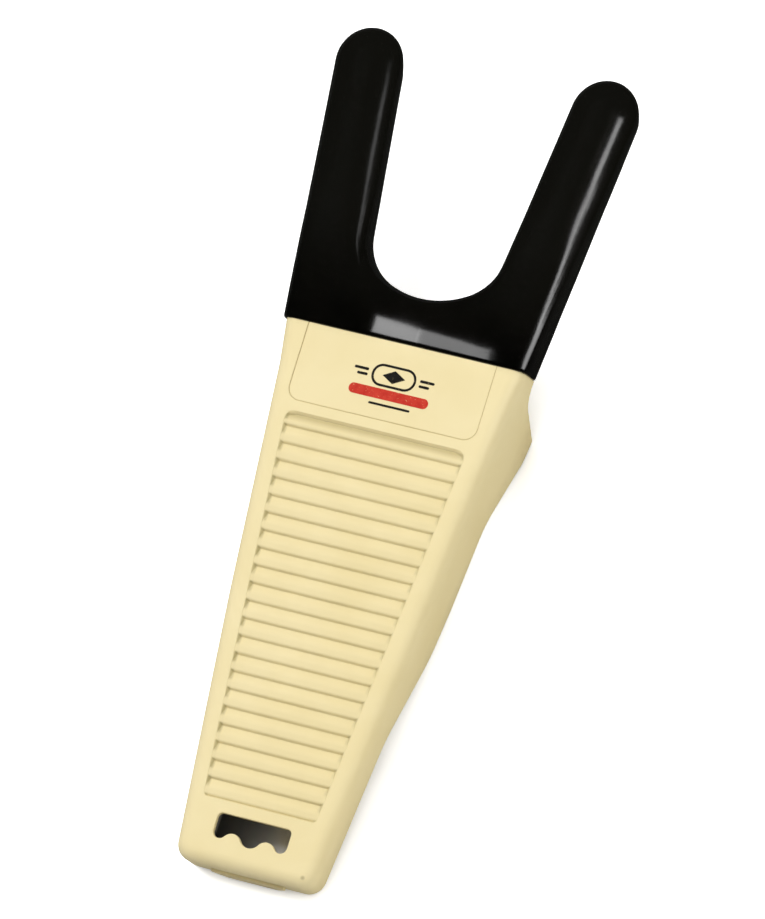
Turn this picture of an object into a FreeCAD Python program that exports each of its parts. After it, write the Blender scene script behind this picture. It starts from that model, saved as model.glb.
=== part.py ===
# Boot jack: a moulded hollow body with a ribbed tread, a leg under the neck,
# a scalloped hanging slot and a U-shaped fork that carries a soft cover.
#
# Everything but the rubber pads is drawn in the deck frame: X to the right, Y along
# the deck towards the fork (front), Z square to the deck, deck surface at Z = 0.
# That frame is tilted about X and lifted, so that the leg and the tail stand on the
# floor, Z = 0 of the document.
import FreeCAD, Part
import Sketcher
import math
import os

V = FreeCAD.Vector
doc = FreeCAD.newDocument("boot_jack")

# --------------------------------------------------------------------------
# driving dimensions: alias, value in millimetres or degrees, note
# --------------------------------------------------------------------------
PARAMS = [
    # placing of the deck frame
    ("deck_tilt", 6.23, "slope of the deck to the floor, degrees"),
    ("deck_lift", 33.112, "height of the deck frame's origin above the floor"),
    ("deck_shift", -14.893, "position along Y of the deck frame's origin"),
    # plan of the body
    ("tail_end", 146.5, "distance of the tail face behind the origin"),
    ("tail_half", 27.95, "half width at the tail face"),
    ("waist_back", 45.0, "distance of the plan's rear knuckle behind the origin"),
    ("waist_half", 38.6, "half width at the rear knuckle"),
    ("shoulder_fwd", 43.0, "distance of the shoulder knuckle ahead of the origin"),
    ("shoulder_half", 46.6, "half width at the shoulder knuckle"),
    ("neck_end", 60.0, "distance of the fork line ahead of the origin"),
    ("neck_half", 49.2, "half width at the fork line"),
    ("body_height", 40.0, "height of the blank from which the skirts are cut"),
    ("tail_corner", 6.5, "upright corner radius at the tail"),
    ("deck_edge", 5.0, "radius between deck and side walls"),
    # lower edge of the side walls, as depth under the deck
    ("skirt_tail", 13.7, "depth of the tail skirt"),
    ("ramp_back", 84.0, "start of the skirt's ramp behind the origin"),
    ("ramp_mid", 50.0, "end of the skirt's ramp behind the origin"),
    ("ramp_depth", 22.9, "depth at the end of the ramp"),
    ("belly_back", 28.0, "start of the belly behind the origin"),
    ("belly_front", 5.0, "end of the belly ahead of the origin"),
    ("belly_depth", 24.4, "depth of the belly"),
    ("foot_back", 33.0, "rear edge of the leg's foot"),
    ("foot_back_depth", 35.7, "depth at the foot's rear edge"),
    ("foot_front", 42.0, "front edge of the leg's foot"),
    ("foot_front_depth", 36.68, "depth at the foot's front edge"),
    ("throat_fwd", 62.2, "centre of the hollow between leg and neck, ahead of the origin"),
    ("neck_depth", 13.3, "depth of the neck's underside"),
    ("throat_round", 14.0, "radius of the hollow between leg and neck"),
    ("ramp_foot_round", 45.0, "radius at the start of the ramp"),
    ("ramp_head_round", 60.0, "radius at the end of the ramp"),
    ("belly_round", 30.0, "radius between belly and leg"),
    ("heel_round", 8.0, "radius at the foot's rear edge"),
    ("toe_round", 1.6, "radius at the foot's front edge"),
    # hollow underside
    ("wall", 3.2, "side wall thickness"),
    ("deck_thick", 4.0, "deck thickness"),
    ("hollow_tall", 44.0, "height of the block that cuts the hollow"),
    ("hollow_front", 46.0, "front end of the hollow under the neck"),
    ("rib_thick", 2.4, "stiffening rib thickness"),
    ("rib_drop", 7.0, "stiffening rib height"),
    ("rib_pitch", 24.0, "distance between the cross ribs"),
    ("rib_count", 6, "number of cross ribs"),
    ("rib_first", 26.0, "front face of the first cross rib ahead of the origin"),
    ("rail_off", 13.0, "distance of the long ribs from the middle"),
    # tread
    ("tread_top", 26.1, "front edge of the tread ahead of the origin"),
    ("tread_end", 122.3, "rear edge of the tread behind the origin"),
    ("tread_top_half", 37.2, "half width at the front edge"),
    ("tread_end_half", 23.0, "half width at the rear edge"),
    ("tread_top_round", 5.2, "front corner radius"),
    ("tread_end_round", 2.6, "rear corner radius"),
    ("tread_over", 0.7, "height of the tread cutter over the deck"),
    ("tread_tall", 5.0, "height of the tread cutter"),
    ("tread_draft", 43.0, "slope of the recess walls off the vertical, degrees"),
    ("tooth_pitch", 6.757, "distance between ribs of the tread"),
    ("tooth_depth", 1.25, "depth of the furrow between two ribs"),
    ("tooth_crest", 0.12, "depth of the rib crest under the deck"),
    ("tooth_count", 21, "number of teeth cut"),
    ("tooth_span", 96.0, "length of the teeth across the jack"),
    ("front_floor", 24.9, "where the front rib starts to rise"),
    ("front_rise", 3.0, "length of the front rib's rise"),
    ("front_over", 2.0, "how far the front furrow's cutter runs past the tread"),
    ("tooth_first", 19.90, "front end of the first tooth"),
    # hanging slot
    ("slot_rim", 1.6, "thickness of the deck round the slot"),
    ("relief_half", 19.0, "half width of the thinned area"),
    ("relief_back", 141.0, "rear edge of the thinned area behind the origin"),
    ("relief_front", 124.6, "front edge of the thinned area behind the origin"),
    ("relief_over", 0.4, "how far the relief cutter reaches below the deck's thickness"),
    ("relief_corner", 2.0, "corner radius of the thinned area"),
    ("slot_half", 15.0, "half width"),
    ("slot_top", 126.7, "front edge behind the origin"),
    ("slot_corner", 1.9, "front corner radius"),
    ("slot_lobe", 2.6, "radius of the outer scallops"),
    ("slot_lobe_y", 133.5, "centre of the outer scallops behind the origin"),
    ("slot_bump", 4.0, "radius of the bumps between the scallops"),
    ("slot_bump_x", 7.0, "distance of the bumps from the middle"),
    ("slot_mid", 4.35, "radius of the middle scallop"),
    ("slot_edge", 0.5, "rounding of the slot's upper edge"),
    # tail foot
    ("tab_half", 14.8, "half width of the tail foot where it leaves the wall"),
    ("tab_flat_half", 10.2, "half width of the tail foot's sole"),
    ("tab_proud", 1.0, "how far the tail foot stands out of the tail face"),
    ("tab_long", 8.0, "length of the tail foot along the deck"),
    ("tab_depth", 16.0, "depth of the sole at the foot's rear face"),
    ("tab_root", 11.5, "depth at which the foot's flanks start"),
    ("tab_blank", 19.0, "depth of the tail foot before its sole is trimmed"),
    ("tab_top", 5.0, "depth of the tail foot's top under the deck's underside"),
    # label panel
    ("panel_half", 38.4, "half width of the inset panel"),
    ("panel_end", 30.2, "rear edge of the inset panel ahead of the origin"),
    ("panel_round", 5.0, "rear corner radius of the inset panel"),
    ("panel_thick", 0.6, "thickness of the inset panel"),
    ("panel_gap", 0.3, "gap around the inset panel"),
    ("panel_front_gap", 0.05, "gap between the inset panel and the fork line"),
    ("panel_soft", 0.25, "rounding of the inset panel's upper edge"),
    # fork and its cover
    ("splay", 6.5, "angle of each prong to the middle plane, degrees"),
    ("fork_half", 50.4, "half width of the covered fork at the fork line"),
    ("fork_tall", 24.0, "height of the blank from which the fork is cut"),
    ("prong_width", 27.3, "width of a covered prong"),
    ("tip_fwd", 162.2, "centre of the prong tips ahead of the origin"),
    ("crotch_fwd", 79.0, "bottom of the U ahead of the origin"),
    ("crotch_round", 35.0, "radius of the U's bottom"),
    ("crotch_corner", 20.0, "radius between the U's bottom and its sides"),
    ("cover_wall", 1.8, "thickness of the soft cover"),
    ("cover_proud", 1.0, "height of the cover over the deck"),
    ("cover_depth", 15.4, "depth of the cover's underside at the fork line"),
    ("fork_taper", 0.04, "how much the fork thins towards its tips, per mm"),
    ("cover_edge", 5.5, "edge radius of the covered prongs"),
    ("core_edge", 3.7, "edge radius of the bare prongs"),
    ("cover_lip", 0.9, "radius of the cover's rim at the fork line"),
    # rubber pads
    ("pad_thick", 2.4, "thickness of the rubber pads"),
    ("pad_long", 26.0, "length of a leg pad across the jack"),
    ("pad_wide", 5.6, "width of a leg pad"),
    ("pad_off", 28.5, "distance of a leg pad from the middle"),
    ("pad_y", 25.812, "position of the leg pads along Y"),
    ("pad_round", 1.6, "corner radius of the pads"),
    ("pad_rim", 0.5, "rounding of the pads' lower edge"),
    ("tail_pad_long", 18.0, "length of the tail pad across the jack"),
    ("tail_pad_wide", 4.8, "width of the tail pad"),
    ("tail_pad_y", 155.758, "distance of the tail pad behind the document's origin"),
]

# Limits of the cutting outlines, well clear of the material
BELOW = -60.0
SKIRT_FRONT = 80.0
SKIRT_REAR = -165.0
TOOTH_TOP = 3.0
CROSS_RIB_HALF = 55.0
LONG_RIB_REAR = -120.0
LONG_RIB_FRONT = 60.0


class Size:
    """A number together with the spreadsheet expression that yields it."""

    def __init__(self, value, text):
        self.value = value
        self.text = text

    def __float__(self):
        return float(self.value)

    def __neg__(self):
        return Size(-self.value, "(-%s)" % self.text)

    def __add__(self, other):
        return Size(self.value + float(other), written(self, "+", other))

    def __radd__(self, other):
        return Size(float(other) + self.value, written(other, "+", self))

    def __sub__(self, other):
        return Size(self.value - float(other), written(self, "-", other))

    def __mul__(self, other):
        return Size(self.value * float(other), written(self, "*", other))

    def __rmul__(self, other):
        return Size(float(other) * self.value, written(other, "*", self))

    def __truediv__(self, other):
        return Size(self.value / float(other), written(self, "/", other))

    def __rtruediv__(self, other):
        return Size(float(other) / self.value, written(other, "/", self))


def written(left, sign, right):
    texts = [part.text if isinstance(part, Size) else repr(part) for part in (left, right)]
    return "(%s %s %s)" % (texts[0], sign, texts[1])


def cosine(angle):
    return Size(math.cos(math.radians(angle)), "cos(%s * 1deg)" % angle.text)


def tangent(angle):
    return Size(math.tan(math.radians(angle)), "tan(%s * 1deg)" % angle.text)


class Dimensions:
    """The driving dimensions, each a Size under its alias."""


dim = Dimensions()
sheet = doc.addObject("Spreadsheet::Sheet", "Params")
for row, (alias, value, note) in enumerate(PARAMS, start=1):
    sheet.set("A%d" % row, note)
    sheet.set("B%d" % row, str(value))
    sheet.setAlias("B%d" % row, alias)
    setattr(dim, alias, Size(value, "Params." + alias))
doc.recompute()


# --------------------------------------------------------------------------
# sketches; a Size is bound to the spreadsheet, a plain number is fixed
# --------------------------------------------------------------------------
def new_body(name, on_deck=True):
    body = doc.addObject("PartDesign::Body", name)
    if on_deck:
        body.Placement = FreeCAD.Placement(
            V(0, float(dim.deck_shift), float(dim.deck_lift)),
            FreeCAD.Rotation(V(1, 0, 0), float(dim.deck_tilt)))
        body.setExpression("Placement.Base.y", dim.deck_shift.text)
        body.setExpression("Placement.Base.z", dim.deck_lift.text)
        body.setExpression("Placement.Rotation.Angle", dim.deck_tilt.text)
    return body


def new_sketch(body, name, role, lift=None):
    """empty sketch on a plane of the body, moved along the plane's normal by lift"""
    sketch = body.newObject("Sketcher::SketchObject", name)
    plane = next(f for f in body.Origin.OriginFeatures if f.Role == role)
    sketch.AttachmentSupport = [(plane, "")]
    sketch.MapMode = "FlatFace"
    if lift is not None:
        sketch.AttachmentOffset = FreeCAD.Placement(V(0, 0, float(lift)), FreeCAD.Rotation())
        sketch.setExpression("AttachmentOffset.Base.z", lift.text)
    return sketch


def line(start, end):
    return Part.LineSegment(V(float(start[0]), float(start[1]), 0),
                            V(float(end[0]), float(end[1]), 0))


def arc(centre, radius, start_angle, end_angle):
    middle = V(float(centre[0]), float(centre[1]), 0)
    return Part.ArcOfCircle(Part.Circle(middle, V(0, 0, 1), float(radius)),
                            start_angle, end_angle)


def join(sketch, joints):
    """each joint is (curve, point, curve, point); point 1 is a start, 2 an end"""
    for joint in joints:
        sketch.addConstraint(Sketcher.Constraint("Coincident", *joint))


def measure(sketch, size, kind, *where):
    index = sketch.addConstraint(Sketcher.Constraint(kind, *where, float(size)))
    if isinstance(size, Size):
        sketch.setExpression("Constraints[%d]" % index, size.text)


def place(sketch, curve, point, x=None, y=None):
    """fix a point of the sketch by its distances from the sketch's origin"""
    if x == 0:
        sketch.addConstraint(Sketcher.Constraint("PointOnObject", curve, point, -2))
    elif x is not None:
        measure(sketch, x, "DistanceX", -1, 1, curve, point)
    if y is not None:
        measure(sketch, y, "DistanceY", -1, 1, curve, point)


def add_polygon(sketch, points):
    count = len(points)
    first = sketch.GeometryCount
    for k in range(count):
        sketch.addGeometry(line(points[k], points[(k + 1) % count]), False)
    join(sketch, [(first + k, 2, first + (k + 1) % count, 1) for k in range(count)])
    for k, (x, y) in enumerate(points):
        place(sketch, first + k, 1, x, y)


def polygon_sketch(body, name, role, points, lift=None):
    sketch = new_sketch(body, name, role, lift)
    add_polygon(sketch, points)
    return sketch


def mirrored(right):
    """closed outline from its right half; the half's ends are joined straight across"""
    left = [(-x, y) for x, y in right]
    return left[:1] + right + left[:0:-1]


# --------------------------------------------------------------------------
# features
# --------------------------------------------------------------------------
def drive(feature, prop, size):
    setattr(feature, prop, float(size))
    feature.setExpression(prop, size.text)


def make_symmetric(feature):
    # the property's name depends on the FreeCAD version
    if "SideType" in feature.PropertiesList:
        feature.SideType = "Symmetric"
    else:
        feature.Midplane = True


def pad(body, name, sketch, length, down=False, both=False):
    feature = body.newObject("PartDesign::Pad", name)
    feature.Profile = sketch
    feature.Type = "Length"
    drive(feature, "Length", length)
    if both:
        make_symmetric(feature)
    feature.Reversed = down
    doc.recompute()
    return feature


def pocket(body, name, sketch, length=None, both=False):
    """pocket of the given depth, or through everything"""
    volume_before = body.Tip.Shape.Volume
    feature = body.newObject("PartDesign::Pocket", name)
    feature.Profile = sketch
    if length is None:
        feature.Type = "ThroughAll"
    else:
        feature.Type = "Length"
        drive(feature, "Length", length)
    if both:
        make_symmetric(feature)
    doc.recompute()
    if not feature.Shape.Volume < volume_before - 1e-3:
        raise RuntimeError(name + " removed nothing")
    return feature


def row_of(body, name, feature, sketch, axis, pitch, count):
    """repeat a feature against the direction of a sketch axis"""
    pattern = body.newObject("PartDesign::LinearPattern", name)
    pattern.Originals = [feature]
    pattern.Direction = (sketch, [axis])
    pattern.Reversed = True
    drive(pattern, "Length", pitch * (count - 1))
    pattern.Occurrences = int(count.value)
    pattern.setExpression("Occurrences", count.text)
    # a new pattern does not become the body's tip by itself
    body.Tip = pattern
    doc.recompute()


def fillet(body, name, select, radius):
    """round those edges of the body's tip for which select(start, end, mid) holds"""
    base = body.Tip
    names = []
    for i, edge in enumerate(base.Shape.Edges, start=1):
        if edge.Length < 1e-6:
            continue
        first, last = edge.ParameterRange
        mid = edge.valueAt((first + last) / 2)
        if select(edge.valueAt(first), edge.valueAt(last), mid):
            names.append("Edge%d" % i)
    feature = body.newObject("PartDesign::Fillet", name)
    feature.Base = (base, names)
    drive(feature, "Radius", radius)
    doc.recompute()


def rises(start, end):
    return abs(start.z - end.z) > 0.5


def upright(start, end):
    return abs(start.x - end.x) < 1e-3 and abs(start.y - end.y) < 1e-3 and rises(start, end)


def across(start, end):
    return (abs(start.y - end.y) < 1e-3 and abs(start.z - end.z) < 1e-3
            and abs(start.x - end.x) > 20)


def at_y(y, *points):
    return all(abs(point.y - float(y)) < 1e-3 for point in points)


def at_z(z, *points):
    return all(abs(point.z - float(z)) < 1e-3 for point in points)


# --------------------------------------------------------------------------
# body blank: deck, skirts, leg, tail foot, slot and panel recess
# --------------------------------------------------------------------------
def add_shell_block(body):
    plan = polygon_sketch(body, "shell_plan", "XY_Plane", mirrored([
        (dim.tail_half, -dim.tail_end),
        (dim.waist_half, -dim.waist_back),
        (dim.shoulder_half, dim.shoulder_fwd),
        (dim.neck_half, dim.neck_end),
    ]))
    pad(body, "shell_height", plan, dim.body_height, down=True)
    corner_limit = float(-dim.tail_end + 1)
    fillet(body, "tail_corners",
           lambda start, end, mid: upright(start, end) and mid.y < corner_limit,
           dim.tail_corner)


def cut_skirts(body):
    """cut the lower edge of the side walls, the leg and the neck, seen from the side"""
    # (y, z) from the front, under the body and forward again to the leg's toe
    points = [
        (SKIRT_FRONT, BELOW),
        (SKIRT_REAR, BELOW),
        (SKIRT_REAR, -dim.skirt_tail),
        (-dim.ramp_back, -dim.skirt_tail),
        (-dim.ramp_mid, -dim.ramp_depth),
        (-dim.belly_back, -dim.belly_depth),
        (dim.belly_front, -dim.belly_depth),
        (dim.foot_back, -dim.foot_back_depth),
        (dim.foot_front, -dim.foot_front_depth),
    ]
    # the leg's straight front runs tangent into the round throat under the neck
    toe_y = float(dim.foot_front)
    toe_z = float(-dim.foot_front_depth)
    throat_round = float(dim.throat_round)
    centre_y = float(dim.throat_fwd)
    centre_z = float(-dim.neck_depth - dim.throat_round)
    distance = math.hypot(centre_y - toe_y, centre_z - toe_z)
    lean = (math.atan2(centre_z - toe_z, centre_y - toe_y)
            + math.asin(throat_round / distance))
    run = math.sqrt(distance ** 2 - throat_round ** 2)
    touch_y = toe_y + run * math.cos(lean)
    touch_z = toe_z + run * math.sin(lean)
    neck_z = float(-dim.neck_depth)

    sketch = new_sketch(body, "skirt_line", "YZ_Plane")
    sketch.addGeometry([line(a, b) for a, b in zip(points[:-1], points[1:])], False)
    leg = len(points) - 1
    throat, neck, front = leg + 1, leg + 2, leg + 3
    sketch.addGeometry([
        line((toe_y, toe_z), (touch_y, touch_z)),
        arc((centre_y, centre_z), throat_round, math.pi / 2,
            math.atan2(touch_z - centre_z, touch_y - centre_y)),
        line((centre_y, neck_z), (SKIRT_FRONT, neck_z)),
        line((SKIRT_FRONT, neck_z), (SKIRT_FRONT, BELOW)),
    ], False)
    join(sketch, [(k, 2, k + 1, 1) for k in range(leg)])
    sketch.addConstraint(Sketcher.Constraint("Tangent", leg, 2, throat, 2))
    sketch.addConstraint(Sketcher.Constraint("Tangent", throat, 1, neck, 1))
    join(sketch, [(neck, 2, front, 1), (front, 2, 0, 1)])
    for k, (y, z) in enumerate(points):
        place(sketch, k, 1, y, z)
    measure(sketch, dim.throat_round, "Radius", throat)
    place(sketch, throat, 3, dim.throat_fwd, -dim.neck_depth - dim.throat_round)
    place(sketch, front, 1, SKIRT_FRONT)
    pocket(body, "skirt_cut", sketch, both=True)

    # feature name, y and z of the fold, radius
    folds = [
        ("ramp_foot", -dim.ramp_back, -dim.skirt_tail, dim.ramp_foot_round),
        ("ramp_head", -dim.ramp_mid, -dim.ramp_depth, dim.ramp_head_round),
        ("belly_head", dim.belly_front, -dim.belly_depth, dim.belly_round),
        ("foot_heel", dim.foot_back, -dim.foot_back_depth, dim.heel_round),
        ("foot_toe", dim.foot_front, -dim.foot_front_depth, dim.toe_round),
    ]
    for name, y, z, radius in folds:
        fillet(body, name,
               lambda start, end, mid: (across(start, end) and abs(mid.y - float(y)) < 0.4
                                        and abs(mid.z - float(z)) < 0.4),
               radius)


def add_tail_foot(body):
    """low block that stands out of the tail face and reaches the floor"""
    flank = (dim.tab_half - dim.tab_flat_half) / (dim.tab_depth - dim.tab_root)
    low_half = dim.tab_half - flank * (dim.tab_blank - dim.tab_root)
    plan = polygon_sketch(body, "tail_foot_plan", "XZ_Plane", mirrored([
        (low_half, -dim.tab_blank),
        (dim.tab_half, -dim.tab_root),
        (dim.tab_half, -dim.deck_thick - dim.tab_top),
    ]), lift=dim.tail_end + dim.tab_proud)
    pad(body, "tail_foot", plan, dim.tab_long, down=True)

    # trim the sole level with the floor
    rear_y = -(dim.tail_end + dim.tab_proud)
    slope = tangent(dim.deck_tilt)
    ahead = 20
    behind = 8
    sole = polygon_sketch(body, "tail_foot_sole", "YZ_Plane", [
        (rear_y, -dim.tab_depth),
        (rear_y + ahead, -(dim.tab_depth + ahead * slope)),
        (rear_y + ahead, BELOW),
        (rear_y - behind, BELOW),
        (rear_y - behind, -(dim.tab_depth - behind * slope)),
    ])
    pocket(body, "tail_foot_trim", sole, both=True)


def cut_slot(body):
    """hanging slot: straight front edge, three scallops along its rear edge"""
    half = float(dim.slot_half)
    front_y = float(-dim.slot_top)
    corner = float(dim.slot_corner)
    corner_x = half - corner
    corner_y = front_y - corner
    lobe = float(dim.slot_lobe)
    lobe_x = half - lobe
    lobe_y = float(-dim.slot_lobe_y)
    bump = float(dim.slot_bump)
    bump_x = float(dim.slot_bump_x)
    bump_y = lobe_y - math.sqrt((bump + lobe) ** 2 - (lobe_x - bump_x) ** 2)
    middle = float(dim.slot_mid)
    middle_y = bump_y + math.sqrt((bump + middle) ** 2 - bump_x ** 2)
    # directions between the centres of touching arcs
    lobe_to_bump = math.atan2(bump_y - lobe_y, bump_x - lobe_x)
    bump_to_lobe = math.atan2(lobe_y - bump_y, lobe_x - bump_x)
    bump_to_middle = math.atan2(middle_y - bump_y, -bump_x)
    middle_to_bump = math.atan2(bump_y - middle_y, bump_x)
    pi = math.pi

    sketch = new_sketch(body, "slot_outline", "XY_Plane")
    sketch.addGeometry([
        line((-corner_x, front_y), (corner_x, front_y)),
        arc((corner_x, corner_y), corner, 0, pi / 2),
        line((half, corner_y), (half, lobe_y)),
        arc((lobe_x, lobe_y), lobe, lobe_to_bump, 0),
        arc((bump_x, bump_y), bump, bump_to_lobe, bump_to_middle),
        arc((0, middle_y), middle, -pi - middle_to_bump, middle_to_bump),
        arc((-bump_x, bump_y), bump, pi - bump_to_middle, pi - bump_to_lobe),
        arc((-lobe_x, lobe_y), lobe, pi, pi - lobe_to_bump),
        line((-half, lobe_y), (-half, corner_y)),
        arc((-corner_x, corner_y), corner, pi / 2, pi),
    ], False)
    join(sketch, [
        (0, 2, 1, 2), (1, 1, 2, 1), (2, 2, 3, 2), (3, 1, 4, 1), (4, 2, 5, 2),
        (5, 1, 6, 1), (6, 2, 7, 2), (7, 1, 8, 1), (8, 2, 9, 2), (9, 1, 0, 1),
    ])
    sketch.addConstraint(Sketcher.Constraint("Horizontal", 0))
    for size, curves in ((dim.slot_corner, (1, 9)), (dim.slot_lobe, (3, 7)),
                         (dim.slot_bump, (4, 6)), (dim.slot_mid, (5,))):
        for curve in curves:
            measure(sketch, size, "Radius", curve)
    place(sketch, 0, 1, -dim.slot_half + dim.slot_corner, -dim.slot_top)
    place(sketch, 0, 2, dim.slot_half - dim.slot_corner)
    place(sketch, 2, 1, dim.slot_half)
    place(sketch, 2, 2, dim.slot_half, -dim.slot_lobe_y)
    place(sketch, 8, 1, -dim.slot_half, -dim.slot_lobe_y)
    place(sketch, 8, 2, -dim.slot_half)
    pocket(body, "slot_cut", sketch)
    fillet(body, "slot_soft",
           lambda start, end, mid: (at_z(0, start, end) and abs(mid.x) < half + 0.2
                                    and front_y - 12 < mid.y < front_y + 0.2),
           dim.slot_edge)


def cut_panel_recess(body):
    recess_half = dim.panel_half + dim.panel_gap
    recess_rear = dim.panel_end - dim.panel_gap
    plan = polygon_sketch(body, "panel_recess_plan", "XY_Plane", mirrored([
        (recess_half, recess_rear),
        (recess_half, dim.neck_end + 5),
    ]))
    pocket(body, "panel_recess", plan, dim.panel_thick)
    fillet(body, "panel_recess_corners",
           lambda start, end, mid: (upright(start, end)
                                    and abs(abs(mid.x) - float(recess_half)) < 0.05
                                    and abs(mid.y - float(recess_rear)) < 0.05),
           dim.panel_round + dim.panel_gap)


def build_blank():
    body = new_body("shell_blank")
    add_shell_block(body)
    cut_skirts(body)
    # everything round the deck except the fork line
    fillet(body, "deck_round",
           lambda start, end, mid: (at_z(0, start, end, mid)
                                    and not at_y(dim.neck_end, start, end)),
           dim.deck_edge)
    add_tail_foot(body)
    cut_slot(body)
    cut_panel_recess(body)
    return body


# --------------------------------------------------------------------------
# fork: bare core and covered outline, from one outline at two insets
# --------------------------------------------------------------------------
def fork_plan(body, name, top, inset):
    """U outline moved inwards by inset"""
    half_width = dim.fork_half - inset / cosine(dim.splay)
    tip_x = (dim.fork_half + (dim.tip_fwd - dim.neck_end) * tangent(dim.splay)
             - dim.prong_width / 2 / cosine(dim.splay))
    tip_round = dim.prong_width / 2 - inset
    corner_round = dim.crotch_corner + inset
    bottom_round = dim.crotch_round + inset
    bottom_y = dim.crotch_fwd + dim.crotch_round

    splay = math.radians(dim.splay)
    cos_splay = math.cos(splay)
    sin_splay = math.sin(splay)
    mid_x = float(tip_x)
    mid_y = float(dim.tip_fwd)
    line_y = float(dim.neck_end)
    half = float(half_width)
    tip = float(tip_round)
    corner = float(corner_round)
    centre_y = float(bottom_y)

    def beside_tip(offset):
        """point square to the right prong's axis from its tip centre, outwards"""
        return mid_x + cos_splay * offset, mid_y - sin_splay * offset

    outer = beside_tip(tip)
    inner = beside_tip(-tip)
    # The corner arc touches the prong's inner side and the bottom arc from within.
    # Its centre is found by its offsets from the bottom arc's centre, square to
    # and along the prong.
    path_x, path_y = beside_tip(-tip - corner)
    square_off = cos_splay * path_x - sin_splay * (path_y - centre_y)
    along_off = -math.sqrt((float(bottom_round) - corner) ** 2 - square_off ** 2)
    corner_x = cos_splay * square_off + sin_splay * along_off
    corner_y = centre_y - sin_splay * square_off + cos_splay * along_off
    meet = math.atan2(corner_y - centre_y, corner_x)
    side_x = corner_x + cos_splay * corner
    side_y = corner_y - sin_splay * corner
    pi = math.pi

    sketch = new_sketch(body, name, "XY_Plane", lift=top)
    sketch.addGeometry([
        line((-half, line_y), (half, line_y)),
        line((half, line_y), outer),
        arc((mid_x, mid_y), tip, -splay, pi - splay),
        line(inner, (side_x, side_y)),
        arc((corner_x, corner_y), corner, meet, -splay),
        arc((0, centre_y), bottom_round, -pi - meet, meet),
        arc((-corner_x, corner_y), corner, pi + splay, pi - meet),
        line((-side_x, side_y), (-inner[0], inner[1])),
        arc((-mid_x, mid_y), tip, splay, pi + splay),
        line((-outer[0], outer[1]), (-half, line_y)),
    ], False)
    join(sketch, [
        (0, 2, 1, 1), (1, 2, 2, 1), (2, 2, 3, 1), (3, 2, 4, 2), (4, 1, 5, 2),
        (5, 1, 6, 2), (6, 1, 7, 1), (7, 2, 8, 1), (8, 2, 9, 1), (9, 2, 0, 1),
    ])
    place(sketch, 0, 1, -half_width, dim.neck_end)
    place(sketch, 0, 2, half_width, dim.neck_end)
    place(sketch, 2, 3, tip_x, dim.tip_fwd)
    place(sketch, 8, 3, -tip_x, dim.tip_fwd)
    for size, curves in ((tip_round, (2, 8)), (corner_round, (4, 6)), (bottom_round, (5,))):
        for curve in curves:
            measure(sketch, size, "Radius", curve)
    place(sketch, 5, 3, 0, bottom_y)
    return sketch


def build_fork(name, top, depth, inset, edge_round):
    """fork whose underside lies at depth on the fork line and rises to the tips"""
    body = new_body(name)
    plan = fork_plan(body, name + "_plan", top, inset)
    pad(body, name + "_block", plan, dim.fork_tall, down=True)
    behind = 10
    ahead = 140
    under = polygon_sketch(body, name + "_under", "YZ_Plane", [
        (dim.neck_end - behind, -(depth + behind * dim.fork_taper)),
        (dim.neck_end + ahead, -(depth - ahead * dim.fork_taper)),
        (dim.neck_end + ahead, BELOW),
        (dim.neck_end - behind, BELOW),
    ])
    pocket(body, name + "_taper", under, both=True)
    # upper and lower rims, except along the fork line
    fillet(body, name + "_edges",
           lambda start, end, mid: (not at_y(dim.neck_end, start, end)
                                    and not upright(start, end)
                                    and (at_z(top, mid) or mid.z < float(top) - 5.0)),
           edge_round)
    return body


def build_cover_outer():
    body = build_fork("cover_outer", top=dim.cover_proud, depth=dim.cover_depth,
                      inset=0, edge_round=dim.cover_edge)
    fillet(body, "cover_outer_lip",
           lambda start, end, mid: at_y(dim.neck_end, start, end, mid),
           dim.cover_lip)
    return body


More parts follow.
